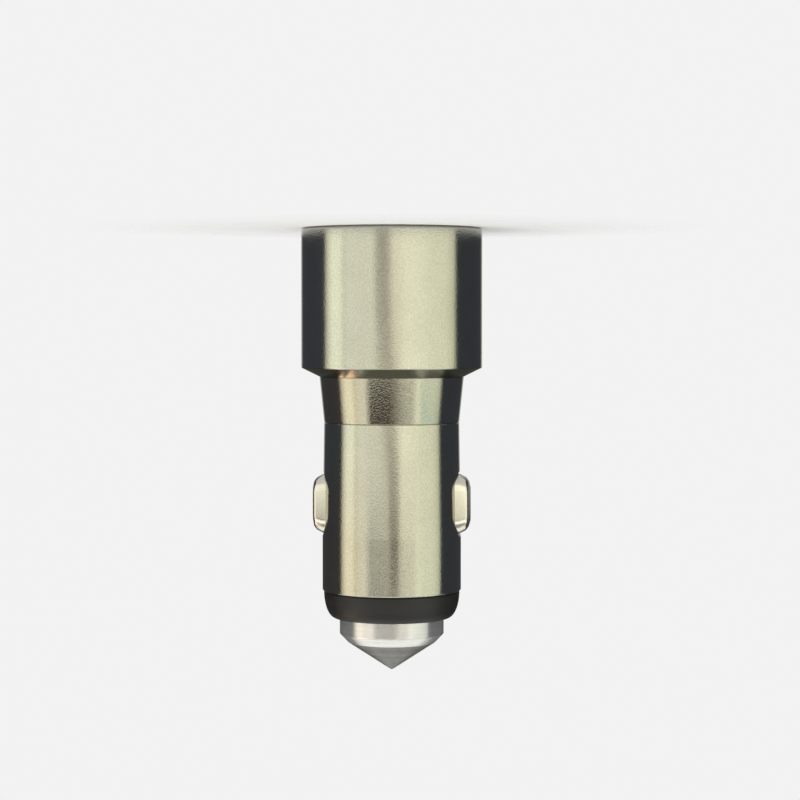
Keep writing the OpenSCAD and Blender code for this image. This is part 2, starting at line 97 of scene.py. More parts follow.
class Finish:
    """A surface finish: a material, its shader, and short ways to add what feeds it."""

    def __init__(self, name, **sockets):
        self.material = bpy.data.materials.new(name)
        self.material.use_nodes = True
        self.tree = self.material.node_tree
        self.shader = self.tree.nodes["Principled BSDF"]
        for socket, value in sockets.items():
            self.feed(socket.replace("_", " "), value)

    def node(self, kind, settings, sockets):
        made = self.tree.nodes.new(kind)
        for key, value in settings.items():
            if key == "stops":
                ramp = made.color_ramp
                while len(ramp.elements) < len(value):
                    ramp.elements.new(1)
                for stop, (place, shade) in zip(ramp.elements, value):
                    stop.position = place
                    stop.color = (*shade, 1)
            else:
                setattr(made, key, value)
        for key, value in sockets.items():
            value = getattr(value, "socket", value)
            if isinstance(value, bpy.types.NodeSocket):
                self.tree.links.new(value, made.inputs[key])
            else:
                made.inputs[key].default_value = value
        return made

    def feed(self, socket, value):
        value = getattr(value, "socket", value)
        if isinstance(value, bpy.types.NodeSocket):
            self.tree.links.new(value, self.shader.inputs[socket])
        else:
            self.shader.inputs[socket].default_value = value

    def place(self, stretch=(1, 1, 1)):
        """Object coordinates in millimetres, stretched by axis."""
        where = self.node("ShaderNodeTexCoord", {}, {})
        scale = tuple(s / MM for s in stretch)
        return self.node(
            "ShaderNodeMapping", {}, {"Vector": where.outputs["Object"], "Scale": scale}
        ).outputs[0]

    def along(self, letter):
        """One object coordinate in millimetres."""
        parts = self.node("ShaderNodeSeparateXYZ", {}, {0: self.place()})
        return Number(self, parts.outputs[letter])

    def noise(self, size, detail=2.0, stretch=(1, 1, 1)):
        """Noise from 0 to 1 whose blotches are about size millimetres across."""
        made = self.node(
            "ShaderNodeTexNoise",
            {},
            {"Vector": self.place(stretch), "Scale": 1 / size, "Detail": detail},
        )
        return Number(self, made.outputs["Fac"])

    def fade(self, value, start, end):
        """Smooth step from 0 to 1 as the value goes from start to end."""
        made = self.node(
            "ShaderNodeMapRange",
            {"interpolation_type": "SMOOTHSTEP"},
            {"Value": value, "From Min": start, "From Max": end},
        )
        return Number(self, made.outputs[0])

    def blend(self, share, low, high):
        """A colour between two others, each a colour or a link."""
        ends = {
            key: shade if isinstance(shade, bpy.types.NodeSocket) else (*shade, 1)
            for key, shade in ((6, low), (7, high))
        }
        made = self.node("ShaderNodeMix", {"data_type": "RGBA"}, {0: share, **ends})
        return made.outputs[2]

    def tint(self, share, shade, colour):
        """A colour multiplied by another, as far as the share says."""
        made = self.node(
            "ShaderNodeMix",
            {"data_type": "RGBA", "blend_type": "MULTIPLY"},
            {0: share, 6: shade, 7: (*colour, 1)},
        )
        return made.outputs[2]

    def ramp(self, share, stops):
        """A colour read from stops along a number."""
        return self.node("ShaderNodeValToRGB", {"stops": stops}, {"Fac": share}).outputs[0]

    def bump(self, height, depth):
        """Relief of the given depth in millimetres."""
        made = self.node(
            "ShaderNodeBump",
            {},
            {"Height": height, "Distance": depth * MM, "Strength": 1.0},
        )
        self.feed("Normal", made.outputs[0])


CREASE = 32
TOUCHING = 1e-7


def finished(name, shape, crease=CREASE):
    """Turns a bmesh into an object with smooth faces and crisp edges."""
    bmesh.ops.remove_doubles(shape, verts=shape.verts, dist=TOUCHING)
    bmesh.ops.recalc_face_normals(shape, faces=shape.faces)
    mesh = bpy.data.meshes.new(name)
    shape.to_mesh(mesh)
    shape.free()
    mesh.shade_smooth()
    mesh.set_sharp_from_angle(angle=math.radians(crease))
    piece = bpy.data.objects.new(name, mesh)
    bpy.context.scene.collection.objects.link(piece)
    return piece


def even(piece):
    """Keeps the shading of large faces true right up to their rounded edges."""
    weighting = piece.modifiers.new("even", "WEIGHTED_NORMAL")
    weighting.keep_sharp = True
    return piece


def turned(name, outline, steps=224):
    """A piece turned about Z from a closed outline of (radius, height, rounding)."""
    shape = bmesh.new()
    corners = [shape.verts.new((r * MM, 0, z * MM)) for r, z, _ in outline]
    shape.faces.new(corners)
    roundings = [turn for _, _, turn in outline]
    for turn in sorted(set(roundings) - {0}):
        bmesh.ops.bevel(
            shape,
            geom=[v for v, t in zip(corners, roundings) if t == turn and v.is_valid],
            offset=turn * MM,
            offset_type="OFFSET",
            affect="VERTICES",
            segments=5,
            profile=0.5,
            material=-1,
        )
    bmesh.ops.delete(shape, geom=list(shape.faces), context="FACES_ONLY")
    on_axis = [e for e in shape.edges if max(v.co.x for v in e.verts) < TOUCHING]
    bmesh.ops.delete(shape, geom=on_axis, context="EDGES")
    bmesh.ops.spin(
        shape,
        geom=list(shape.verts) + list(shape.edges),
        cent=(0, 0, 0),
        axis=(0, 0, 1),
        angle=2 * math.pi,
        steps=steps,
        use_merge=True,
    )
    return finished(name, shape)


def dress(piece, finish, body="housing", stands_for=()):
    """Gives a piece its finish and the body that it moves with."""
    piece.data.materials.clear()
    piece.data.materials.append(finish.material)
    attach(piece, body)
    if stands_for:
        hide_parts(*stands_for)
    return piece


def reach(node):
    """Outer radius, lowest and highest height of a node, in millimetres."""
    low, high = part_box(node)
    return high.x / MM, low.z / MM, high.z / MM


head_r, _, neck_z = reach("head_shell")
neck_r = 10.45
spigot_r = 9.6
fit = 0.05
bevel_l = 1.3
web_t = 1.2
head_wall = 0.9
head_bore_r = head_r - head_wall
rim = 0.35
edge = 0.06
turned_edge = 0.1
bevel_z = neck_z - bevel_l
anodised = Finish("anodised_aluminium", Metallic=1.0)
clouds = anodised.noise(5.0, 3.0)
grain = anodised.fade(anodised.noise(0.22, 1.0), 0.3, 0.7)
anodised.feed(
    "Base Color",
    anodised.blend(clouds * 0.55 + grain * 0.45, (0.34, 0.335, 0.28), (0.47, 0.465, 0.39)),
)
anodised.feed("Roughness", 0.07 + clouds * 0.03 + grain * 0.03)
anodised.bump(grain, 0.003)
head = turned(
    "head_sleeve",
    [
        (head_bore_r, 0, edge),
        (head_r - rim, 0, turned_edge),
        (head_r, rim, turned_edge),
        (head_r, bevel_z, turned_edge),
        (neck_r, neck_z, edge),
        (spigot_r + fit, neck_z, 0),
        (spigot_r + fit, bevel_z - web_t, 0),
        (head_bore_r, bevel_z - web_t, 0),
    ],
)
dress(even(head), anodised, stands_for=["head_shell"])


# Neck and barrel. One turned tube: the neck is a cone, a fine line is cut round below it,
# and the barrel swells slightly to a straight end. Two slots are milled for the contacts.
_, spigot_z, ring_z = reach("body_shell")
barrel_r = 10.05
waist_r = 9.8
neck_l = 6.6
line_z = neck_z + neck_l
line_depth = 0.1
straight_l = 7.9
end_chamfer = 0.15
barrel_bore_r = 9.15
neck_bore_r = 8.7
slot_w = 7.0
slot_l = 9.3
slot_round = 2.6
slot_z = 39.9
bore_step = 4.4
step_z = slot_z - slot_l / 2 - bore_step
seam = 0.02
line_edge = 0.02
end_edge = 0.04
cut_from = 6.0
cut_to = 12.0
brim_turn = 1.0
brim_reach = 0.1
broken_edge = 0.07
barrel_crease = 18
swell_rows = 30
swell = [
    (
        waist_r + (barrel_r - waist_r) * i / swell_rows,
        line_z + line_depth + (ring_z - straight_l - line_z - line_depth) * i / swell_rows,
        0,
    )
    for i in range(swell_rows + 1)
]


def prism(sections, turn, segments=8):
    """A solid along Z through rounded rectangles of (width, depth, height)."""
    shape = bmesh.new()
    width, depth, height = sections[0]
    bmesh.ops.create_grid(shape, x_segments=1, y_segments=1, size=0.5)
    bmesh.ops.scale(shape, verts=shape.verts, vec=(width * MM, depth * MM, 1))
    bmesh.ops.bevel(
        shape,
        geom=list(shape.verts),
        offset=turn * MM,
        offset_type="OFFSET",
        affect="VERTICES",
        segments=segments,
        profile=0.5,
        material=-1,
    )
    bmesh.ops.translate(shape, verts=shape.verts, vec=(0, 0, height * MM))
    shape.faces.ensure_lookup_table()
    foot = cap = shape.faces[0]
    for new_width, new_depth, new_height in sections[1:]:
        made = bmesh.ops.extrude_face_region(shape, geom=[cap])["geom"]
        if cap != foot and cap.is_valid:
            bmesh.ops.delete(shape, geom=[cap], context="FACES_ONLY")
        cap = next(g for g in made if isinstance(g, bmesh.types.BMFace))
        bmesh.ops.scale(
            shape, verts=cap.verts, vec=(new_width / width, new_depth / depth, 1)
        )
        bmesh.ops.translate(
            shape, verts=cap.verts, vec=(0, 0, (new_height - height) * MM)
        )
        width, depth, height = new_width, new_depth, new_height
    return shape


def placed(shape, turns=(), shift=(0, 0, 0)):
    """Turns a bmesh about the origin, by (degrees, axis), and then shifts it."""
    for degrees, axis in turns:
        bmesh.ops.rotate(
            shape,
            verts=shape.verts,
            cent=(0, 0, 0),
            matrix=Matrix.Rotation(math.radians(degrees), 3, axis),
        )
    bmesh.ops.translate(shape, verts=shape.verts, vec=[s * MM for s in shift])
    return shape


def settle(piece):
    """Applies a piece's modifiers to its mesh."""
    graph = bpy.context.evaluated_depsgraph_get()
    whole = bpy.data.meshes.new_from_object(piece.evaluated_get(graph))
    piece.modifiers.clear()
    piece.data = whole
    whole.set_sharp_from_angle(angle=math.radians(CREASE))
    return piece


def combine(piece, other, operation="DIFFERENCE"):
    """Cuts one object with another or joins the two; the other object goes."""
    tool = piece.modifiers.new("combine", "BOOLEAN")
    tool.object = other
    tool.operation = operation
    tool.solver = "EXACT"
    settle(piece)
    bpy.data.objects.remove(other)
    return piece


barrel = turned(
    "neck_and_barrel",
    [
        (neck_bore_r, spigot_z, 0),
        (spigot_r, spigot_z, 0),
        (spigot_r, neck_z, 0),
        (neck_r, neck_z + seam, edge),
        (waist_r, line_z - line_depth, line_edge),
        (waist_r - line_depth, line_z, line_edge),
        *swell,
        (barrel_r, ring_z - end_chamfer, end_edge),
        (barrel_r - end_chamfer, ring_z, 0),
        (barrel_bore_r, ring_z, 0),
        (barrel_bore_r, step_z, 0),
        (neck_bore_r, step_z, 0),
    ],
)
for side in (-1, 1):
    slot_form = placed(
        prism([(slot_l, slot_w, cut_from), (slot_l, slot_w, cut_to)], slot_round, 10),
        [(90 * side, "Y")],
        (0, 0, slot_z),
    )
    combine(barrel, finished("slot_cutter", slot_form))
shape = bmesh.new()
shape.from_mesh(barrel.data)
brim = [
    e
    for e in shape.edges
    if len(e.link_faces) == 2
    and e.calc_face_angle() > brim_turn
    and all(
        abs(v.co.z / MM - slot_z) < slot_l / 2 + brim_reach
        and math.hypot(v.co.x, v.co.y) / MM > waist_r
        and abs(v.co.y / MM) < slot_w / 2 + brim_reach
        for v in e.verts
    )
]
bmesh.ops.bevel(
    shape,
    geom=brim,
    offset=broken_edge * MM,
    offset_type="OFFSET",
    affect="EDGES",
    segments=2,
    profile=0.5,
    material=-1,
)
shape.to_mesh(barrel.data)
shape.free()
barrel.data.shade_smooth()
barrel.data.set_sharp_from_angle(angle=math.radians(barrel_crease))
dress(even(barrel), anodised, stands_for=["body_shell"])


# Nose ring. Moulded in black plastic with a fine spark texture; it closes the barrel, and
# its rounded outside leads the plug into a vehicle's socket.
_, ring_low, mouth_z = reach("end_ring")
ring_r = 9.85
mouth_edge_r = 7.95
mouth_r = 7.7
lip_t = 1.3
ring_spigot_r = barrel_bore_r - fit
ring_wall = 0.5
foot_in = 0.3
foot_top_in = 0.18
foot_l = 0.04
ring_fullness = 0.85
ring_steps = 24
ring_side = [
    (
        mouth_edge_r
        + (ring_r - mouth_edge_r) * math.cos(math.pi / 2 * i / ring_steps) ** ring_fullness,
        ring_z + (mouth_z - ring_z) * math.sin(math.pi / 2 * i / ring_steps),
        0,
    )
    for i in range(1, ring_steps + 1)
]
black_plastic = Finish("black_moulded_plastic", IOR=1.46, Specular_IOR_Level=0.36)
spark = black_plastic.noise(0.16, 3.0)
flow = black_plastic.noise(2.5, 2.0, (0.5, 0.5, 1.6))
black_plastic.feed(
    "Base Color", black_plastic.blend(flow, (0.008, 0.008, 0.008), (0.018, 0.017, 0.016))
)
black_plastic.feed("Roughness", 0.36 + flow * 0.16)
black_plastic.bump(spark * 0.8 + flow * 0.2, 0.035)
nose_ring = turned(
    "nose_ring",
    [
        (ring_spigot_r, ring_low, 0),
        (ring_spigot_r, ring_z, 0),
        (ring_r - foot_in, ring_z, 0),
        (ring_r - foot_top_in, ring_z + foot_l, 0),
        *ring_side,
        (mouth_r, mouth_z, edge),
        (mouth_r, mouth_z - lip_t, 0),
        (ring_spigot_r - ring_wall, mouth_z - lip_t, 0),
        (ring_spigot_r - ring_wall, ring_low, 0),
    ],
)
dress(nose_ring, black_plastic, stands_for=["end_ring"])


# Centre contact. Turned from steel and polished: a short drum, a bright bevel on its
# shoulder and a blunt cone with fine tool marks, hollow behind for its spring.
flange_r, flange_z, point_z = reach("centre_tip")
tip_r = 7.55
cone_l = 4.1
shoulder_l = 1.25
shoulder_w = 1.2
point_r = 0.3
point_round = 0.15
cone_end_r = point_r * 0.8
cone_end_z = point_z - point_r * 0.35
hollow_r = 3.7
hollow_l = 3.0
hollow_z = flange_z + hollow_l
flange_t = 1.8
cone_z = point_z - cone_l
cone_blur = 0.05
steel = Finish("polished_steel", Metallic=0.7, Anisotropic=0.55, Anisotropic_Rotation=0.25)
tool_marks = steel.noise(0.3, 2.0, (0.03, 0.03, 1))
fine_marks = steel.noise(0.1, 1.0, (0.03, 0.03, 1))
steel_cloud = steel.noise(0.9, 3.0, (1, 1, 0.6))
# On the cone the steel's colour is painted darker, a painted shade for the dark surroundings
# that the cone reflects; the same mask also makes its tool marks rougher and deeper.
cone_shade_and_marks = steel.fade(steel.along("Z"), cone_z - cone_blur, cone_z + cone_blur)
steel.feed(
    "Base Color",
    steel.blend(
        cone_shade_and_marks * 0.5 + tool_marks * 0.3 + steel_cloud * 0.2,
        (0.8, 0.79, 0.765),
        (0.08, 0.08, 0.077),
    ),
)
steel.feed("Roughness", 0.16 + tool_marks * 0.1 + cone_shade_and_marks * 0.14)
steel.bump(tool_marks * (0.2 + cone_shade_and_marks * 0.8) + (fine_marks + steel_cloud) * 0.2, 0.022)
tip = turned(
    "centre_contact",
    [
        (0, hollow_z, 0),
        (hollow_r, hollow_z, 0),
        (hollow_r, flange_z, 0),
        (flange_r, flange_z, edge),
        (flange_r, flange_z + flange_t, edge),
        (tip_r, flange_z + flange_t, 0),
        (tip_r, cone_z - shoulder_l, turned_edge),
        (tip_r - shoulder_w, cone_z, turned_edge),
        (cone_end_r, cone_end_z, point_round),
        (0, point_z, 0),
    ],
)
dress(even(tip), steel, "centre_contact", ["centre_tip"])


# Parts behind the centre contact: its coil spring of drawn steel wire, the brass seat that
# the spring stands on, and the moulded holder whose post stops the contact.
def coil(radius, wire_d, length, turns, sides=12, steps=28):
    """A compression spring along Z from zero, with a flat closed turn at each end."""
    shape = bmesh.new()
    bmesh.ops.create_circle(
        shape,
        segments=sides,
        radius=wire_d / 2 * MM,
        matrix=Matrix.Translation((radius * MM, 0, wire_d / 2 * MM))
        @ Matrix.Rotation(math.pi / 2, 4, "X"),
    )
    closed = 0.75
    lift = wire_d * 0.35
    open_turns = turns - 2 * closed
    front = list(shape.verts) + list(shape.edges)
    for part, rise in (
        (closed, lift),
        (open_turns, length - wire_d - 2 * lift),
        (closed, lift),
    ):
        count = round(part * steps)
        front = bmesh.ops.spin(
            shape,
            geom=front,
            cent=(0, 0, 0),
            axis=(0, 0, 1),
            dvec=(0, 0, rise / count * MM),
            angle=2 * math.pi * part,
            steps=count,
        )["geom_last"]
    bmesh.ops.holes_fill(shape, edges=[e for e in shape.edges if e.is_boundary])
    return shape


def coat(finish, *names):
    """Gives carried-over nodes a finish."""
    for name in names:
        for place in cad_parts[name].material_slots:
            place.material = finish.material


spring_steel = Finish("spring_wire", Metallic=1.0)
drawn = spring_steel.noise(0.4, 3.0)
spring_steel.feed(
    "Base Color", spring_steel.blend(drawn, (0.42, 0.41, 0.4), (0.58, 0.57, 0.55))
)
spring_steel.feed("Roughness", 0.24 + drawn * 0.14)
spring_steel.bump(drawn, 0.004)
low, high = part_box("tip_spring")
tip_wire_d = 0.6
tip_turns = 5
wire_crease = 60
tip_spring_l = (high.z - low.z) / MM
tip_coil = placed(
    coil(high.x / MM - tip_wire_d / 2, tip_wire_d, tip_spring_l, tip_turns),
    (),
    (0, 0, low.z / MM),
)
tip_spring = dress(
    finished("centre_spring", tip_coil, wire_crease),
    spring_steel,
    stands_for=["tip_spring"],
)
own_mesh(tip_spring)

brass = Finish("gilded_brass", Metallic=1.0)
rolled = brass.noise(0.5, 3.0, (0.3, 1, 1))
brass.feed("Base Color", brass.blend(rolled, (0.72, 0.5, 0.2), (0.86, 0.64, 0.3)))
brass.feed("Roughness", 0.2 + rolled * 0.15)
brass.bump(rolled, 0.002)
coat(brass, "tip_terminal", "upper_usb_pins", "lower_usb_pins")
coat(black_plastic, "nose_holder")


# Side contacts. Each is a shoe drawn from thin sheet and nickel plated, with a flange that
# stays behind the slot; a small coil spring pushes it out from its seat on the board.
shoe_x = 11.45
shoe_w = 6.3
shoe_l = 8.6
shoe_corner = 2.3
shoe_t = 0.5
shoe_flange = 0.8
shoe_flange_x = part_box("right_contact")[0].x / MM + shoe_t
shoe_back_x = shoe_flange_x - shoe_t
draft = 0.17
flank_step = 0.4
flank_end_x = 10.75
flank_share = 0.9
shoulder_r = 0.55
end_x = 9.5
end_l = 2.1
crown_w = 1.6
crown_steps = 12
over = 0.01
hollow_over = 0.5
shoe_crease = 38
small_wire_d = 0.3
small_turns = 4
nickel = Finish("bright_nickel", Metallic=1.0)
plated = nickel.noise(1.6, 3.0)
pressed = nickel.noise(0.35, 2.0)
nickel.feed("Base Color", nickel.blend(plated, (0.55, 0.53, 0.45), (0.63, 0.61, 0.53)))
nickel.feed("Roughness", 0.16 + plated * 0.08 + pressed * 0.06)
nickel.bump(pressed * 0.7 + plated * 0.3, 0.008)


def shoe_form(inset, start_x):
    """Solid form of the contact on the +X side, inset all round by the amount given."""
    lean = math.atan(draft)
    side = [
        (start_x, shoe_w / 2 + draft * (end_x - start_x)),
        (end_x - inset, shoe_w / 2),
        (end_x + flank_step - inset, shoe_w / 2 - draft * flank_step),
    ]
    for i in range(crown_steps + 1):
        turned_by = lean + (math.pi / 2 - lean) * i / crown_steps
        side.append(
            (
                flank_end_x + shoulder_r * (math.sin(turned_by) - math.sin(lean)) - inset,
                shoe_w / 2
                - draft * (flank_end_x - end_x)
                - shoulder_r * (math.cos(lean) - math.cos(turned_by)),
            )
        )
    side.append((shoe_x - inset, crown_w / 2))
    sections = []
    for x, half_w in side:
        share = max(0, x + inset - end_x) / (shoe_x + over - end_x)
        half_l = shoe_l / 2 - end_l * (1 - math.sqrt(1 - share**2))
        sections.append((2 * (half_l - inset), 2 * (half_w - inset * flank_share), x))
    form = placed(prism(sections, shoe_corner - inset, 12), [(90, "Y")], (0, 0, slot_z))
    return finished("shoe", form)


contact = shoe_form(0, shoe_back_x)
flange_l = shoe_l + 2 * shoe_flange
flange_w = shoe_w + 2 * shoe_flange
flange = placed(
    prism(
        [(flange_l, flange_w, shoe_back_x), (flange_l, flange_w, shoe_flange_x)],
        slot_round,
        10,
    ),
    [(90, "Y")],
    (0, 0, slot_z),
)
combine(contact, finished("shoe_flange", flange), "UNION")
combine(contact, shoe_form(shoe_t, shoe_back_x - hollow_over))
contact_form = contact.data
bpy.data.objects.remove(contact)
for side, node, body, joint in (
    (1, "right_contact", "right_shoe", "right_contact_press"),
    (-1, "left_contact", "left_shoe", "left_contact_press"),
):
    shape = bmesh.new()
    shape.from_mesh(contact_form)
    placed(shape, [(0 if side > 0 else 180, "Z")])
    shoe = finished(f"{node}_shoe", shape, shoe_crease)
    dress(shoe, nickel, body, [node])
    low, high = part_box(f"{node}_spring")
    spring_l = (high.x - low.x) / MM
    seat = low.x if side > 0 else high.x
    small_coil = placed(
        coil(high.y / MM - small_wire_d / 2, small_wire_d, spring_l, small_turns),
        [(90 * side, "Y")],
        (seat / MM, 0, slot_z),
    )
    small_spring = dress(
        finished(f"{node}_coil", small_coil, wire_crease),
        spring_steel,
        stands_for=[f"{node}_spring"],
    )
    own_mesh(small_spring)


# Socket face. Moulded in the same black plastic and slipped into the head: a plate with two
# windows that lead a plug in, a slot for a clear light pipe, and a skirt behind.
_, face_z, skirt_end = reach("face_plate")
face_t = 2.2
plate_r = head_bore_r - fit
skirt_wall = 0.8
usb_w = 12.5
usb_h = 5.1
usb_pitch = 9.2
port_z = 1.2
shield_t = 0.3
shield = shield_t + fit
face_edge = 0.15
face_steps = 160
lead_w = 1.2
lead_l = 0.3
throat_w = 0.3
throat_l = 0.5
window_over = 0.1
window_end_z = 9
window_round = 0.6
pipe_cut_z = 4
pipe_round = 0.45
face = turned(
    "socket_face",
    [
        (0, face_z, 0),
        (plate_r, face_z, face_edge),
        (plate_r, skirt_end, 0),
        (plate_r - skirt_wall, skirt_end, 0),
        (plate_r - skirt_wall, face_z + face_t, 0),
        (0, face_z + face_t, 0),
    ],
    face_steps,
)
for side in (-1, 1):
    window = prism(
        [
            (usb_w + lead_w, usb_h + lead_w, face_z - window_over),
            (usb_w + throat_w, usb_h + throat_w, face_z + lead_l),
            (usb_w, usb_h, face_z + throat_l),
            (usb_w, usb_h, port_z),
            (usb_w + 2 * shield, usb_h + 2 * shield, port_z + over),
            (usb_w + 2 * shield, usb_h + 2 * shield, window_end_z),
        ],
        window_round,
        6,
    )
    combine(face, finished("window", placed(window, (), (0, side * usb_pitch / 2, 0))))
low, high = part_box("light_pipe")
pipe_w = (high.x - low.x) / MM
pipe_h = (high.y - low.y) / MM
pipe_start = low.z / MM
pipe_end = high.z / MM
pipe_slot = prism(
    [(pipe_w + fit, pipe_h + fit, 0), (pipe_w + fit, pipe_h + fit, pipe_cut_z)], pipe_round
)
combine(face, finished("pipe_slot", pipe_slot))
dress(face, black_plastic, stands_for=["face_plate"])

clear_lens = Finish("clear_lens", Transmission_Weight=0.85, IOR=1.49)
frost = clear_lens.noise(0.4, 2.0)
clear_lens.feed("Base Color", clear_lens.blend(frost, (0.8, 0.88, 0.92), (0.9, 0.95, 0.97)))
clear_lens.feed("Roughness", 0.12 + frost * 0.2)
lens_chamfer = 0.1
lens_round = 0.4
lens = prism(
    [
        (pipe_w - 2 * lens_chamfer, pipe_h - 2 * lens_chamfer, pipe_start),
        (pipe_w, pipe_h, pipe_start + lens_chamfer),
        (pipe_w, pipe_h, pipe_end),
    ],
    lens_round,
)
dress(finished("light_lens", lens), clear_lens, stands_for=["light_pipe"])


# Socket shells, tongues and ground pads. The shells are folded from nickel plated sheet,
# the tongues moulded in white plastic, and the pads stamped to grip the board's edge.
sheet = Finish("nickel_sheet", Metallic=1.0)
sheet_lines = sheet.noise(0.2, 2.0, (1, 1, 0.05))
sheet_cloud = sheet.noise(2.0, 2.0)
sheet.feed("Base Color", sheet.blend(sheet_cloud, (0.56, 0.55, 0.52), (0.68, 0.67, 0.64)))
sheet.feed("Roughness", 0.2 + sheet_lines * 0.14)
sheet.bump(sheet_lines, 0.002)
coat(sheet, "upper_usb_shield", "lower_usb_shield", "left_ground_pad", "right_ground_pad")

white_plastic = Finish("white_moulded_plastic", IOR=1.5)
sprue = white_plastic.noise(1.2, 3.0)
white_plastic.feed(
    "Base Color", white_plastic.blend(sprue, (0.72, 0.72, 0.69), (0.8, 0.8, 0.78))
)
white_plastic.feed("Roughness", 0.38 + sprue * 0.12)
white_plastic.bump(white_plastic.noise(0.15, 2.0), 0.004)
coat(white_plastic, "upper_usb_tongue", "lower_usb_tongue")


# Circuit board. Glass fibre under a green solder mask, with the copper tracks showing as
# lighter lines along it.
mask = Finish("green_solder_mask", Coat_Weight=0.3, IOR=1.5)
tracks = mask.noise(1.1, 0.0, (1, 1, 0.12))
track = mask.fade(abs(tracks - 0.5), 0.05, 0.03)
mask.feed("Base Color", mask.blend(track, (0.012, 0.09, 0.035), (0.03, 0.19, 0.08)))
mask.feed("Roughness", 0.3 + mask.noise(0.6) * 0.15)
mask.bump(track, 0.02)
coat(mask, "main_board")


# Coil. A pressed ferrite drum wound with enamelled copper wire in one close layer.
ferrite = Finish("pressed_ferrite", IOR=1.6)
pressing = ferrite.noise(0.25, 4.0)
ferrite.feed(
    "Base Color", ferrite.blend(pressing, (0.03, 0.031, 0.034), (0.07, 0.07, 0.074))
)
ferrite.feed("Roughness", 0.5 + pressing * 0.2)
ferrite.bump(pressing, 0.02)
coat(ferrite, "coil_core")

copper = Finish("enamelled_copper", Metallic=1.0, Coat_Weight=0.5)
enamel = copper.noise(0.8, 2.0)
copper.feed("Base Color", copper.blend(enamel, (0.6, 0.22, 0.08), (0.78, 0.34, 0.14)))
copper.feed("Roughness", 0.22 + enamel * 0.12)
turns_per_mm = 1.43
copper.bump(abs((copper.along("Y") * turns_per_mm) % 1.0 - 0.5), 0.05)
coat(copper, "coil_winding")


# Electrolytic capacitors. Aluminium cans in a shrunk dark blue sleeve, bare at the closed
# end, with tinned leads bent to the board.
bare_l = 0.3
sleeve_edge = 0.1
sleeve_z = 18.5
for name in ("input_capacitor", "output_capacitor"):
    _, _, can_end = reach(name)
    sleeve = Finish(f"{name}_sleeve", IOR=1.5)
    can_z = sleeve.along("Z")
    bare = sleeve.fade(can_z, can_end - bare_l, can_end - bare_l + sleeve_edge)
    bare = bare + sleeve.fade(can_z, sleeve_z, sleeve_z - sleeve_edge)
    shrunk = sleeve.noise(1.5, 2.0, (1, 1, 0.3))
    sleeve.feed("Base Color", sleeve.blend(bare, (0.02, 0.03, 0.075), (0.62, 0.62, 0.63)))
    sleeve.feed("Metallic", bare)
    sleeve.feed("Roughness", 0.26 + shrunk * 0.14)
    sleeve.bump(shrunk, 0.03)
    coat(sleeve, name)


# Regulator, diode and fuse. Moulded in black epoxy, or ceramic for the fuse, with tinned
# legs or caps at both sides that are soldered to the board.
for name, body_w, dark, light in (
    ("regulator_chip", 3.9, (0.018, 0.018, 0.02), (0.03, 0.03, 0.032)),
    ("diode", 4.2, (0.02, 0.02, 0.02), (0.035, 0.034, 0.033)),
    ("fuse", 3.2, (0.3, 0.25, 0.12), (0.4, 0.34, 0.18)),
):
    epoxy = Finish(f"{name}_body", IOR=1.55)
    leg = epoxy.fade(abs(epoxy.along("X")), body_w / 2, body_w / 2 + 0.06)
    moulded = epoxy.noise(0.3, 3.0)
    shade = epoxy.blend(moulded, dark, light)
    epoxy.feed("Base Color", epoxy.blend(leg, shade, (0.66, 0.66, 0.64)))
    epoxy.feed("Metallic", leg)
    epoxy.feed("Roughness", 0.5 - leg * 0.25 + moulded * 0.12)
    epoxy.bump(moulded, 0.01)
    coat(epoxy, name)


# Small chip parts and the light. Resistors and capacitors are fired ceramic with tinned
# ends; the light is a white chip that shines into the lens of the face.
ceramic = Finish("fired_ceramic", IOR=1.6)
fired = ceramic.noise(0.5, 3.0)
tinned = ceramic.noise(0.9, 0.0, (0.2, 0.2, 1.1)) > 0.56
shade = ceramic.blend(fired, (0.22, 0.14, 0.08), (0.34, 0.24, 0.15))
ceramic.feed("Base Color", ceramic.blend(tinned, shade, (0.6, 0.6, 0.58)))
ceramic.feed("Metallic", tinned)
ceramic.feed("Roughness", 0.35 + fired * 0.15)
coat(ceramic, "chip_parts")

light_chip = Finish("light_chip", IOR=1.5)
phosphor = light_chip.fade(abs(light_chip.along("X")), 0.72, 0.62)
light_chip.feed(
    "Base Color", light_chip.blend(phosphor, (0.78, 0.78, 0.75), (0.85, 0.76, 0.25))
)
light_chip.feed("Roughness", 0.35 + light_chip.noise(0.3) * 0.15)
coat(light_chip, "status_led")


# Camera. It stands level with the head and is held upside down, as the photograph has the
# head at the top of the picture.
CAMERA_DISTANCE = 0.33
CAMERA_HEIGHT = 0.0133
AIM_HEIGHT = 0.0249
AIM_SIDE = -0.0012
TURN = -3.8
FRAME_WIDTH = 0.116
SENSOR_WIDTH = 36
camera_data = bpy.data.cameras.new("camera")
camera = bpy.data.objects.new("camera", camera_data)
bpy.context.scene.collection.objects.link(camera)
bpy.context.scene.camera = camera
turn = math.radians(TURN)
out = Vector((math.sin(turn), -math.cos(turn), 0))
right = Vector((math.cos(turn), math.sin(turn), 0))
camera.location = out * CAMERA_DISTANCE + right * AIM_SIDE + Vector((0, 0, CAMERA_HEIGHT))
aim = right * AIM_SIDE + Vector((0, 0, AIM_HEIGHT))
camera.rotation_mode = "QUATERNION"
upright = (aim - camera.location).to_track_quat("-Z", "Y")
camera.rotation_quaternion = upright @ Matrix.Rotation(math.pi, 4, "Z").to_quaternion()
camera_data.sensor_width = SENSOR_WIDTH
camera_data.lens = SENSOR_WIDTH * CAMERA_DISTANCE / FRAME_WIDTH
camera_data.clip_start = 0.01
camera_data.clip_end = 20


# Floor. A pale disc under the plug that keeps its soft shadow and fades into the pale
# backdrop before it reaches the edge.
def on_stage(name, shape, finish):
    """Adds a piece of the studio, which isn't part of the plug."""
    piece = finished(name, shape)
    piece.data.materials.append(finish.material)
    return piece


